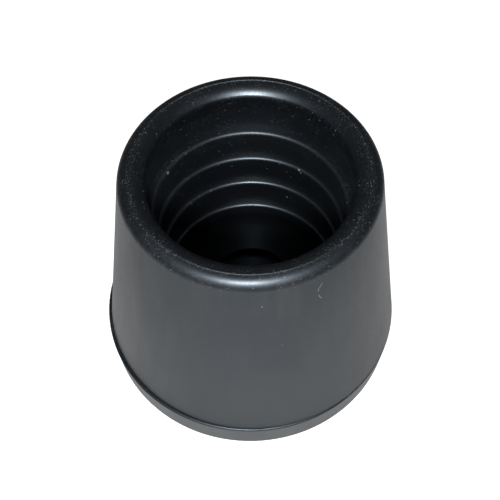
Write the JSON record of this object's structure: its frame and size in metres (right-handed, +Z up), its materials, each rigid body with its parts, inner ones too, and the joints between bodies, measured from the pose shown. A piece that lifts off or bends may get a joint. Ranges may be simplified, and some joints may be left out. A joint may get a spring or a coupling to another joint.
{
  "type": "chair leg ferrule",
  "caption": "Round moulded rubber foot for a tube leg: a flat foot, a tapered skirt, a rounded rim and a blind socket with grip rings, down to a floor with a shallow well.",
  "frame": {"origin": "on the socket's axis, at the flat tread that stands on the floor", "axes": "+Z up along the socket's axis, out of its mouth; the part is round, so X and Y are free"},
  "size_m": [0.04, 0.04, 0.0347],
  "materials": {
    "rubber": "near-black moulded rubber, satin, with a polished rim"
  },
  "bodies": {
    "root": {"ferrule": "rubber"}
  },
  "joints": []
}
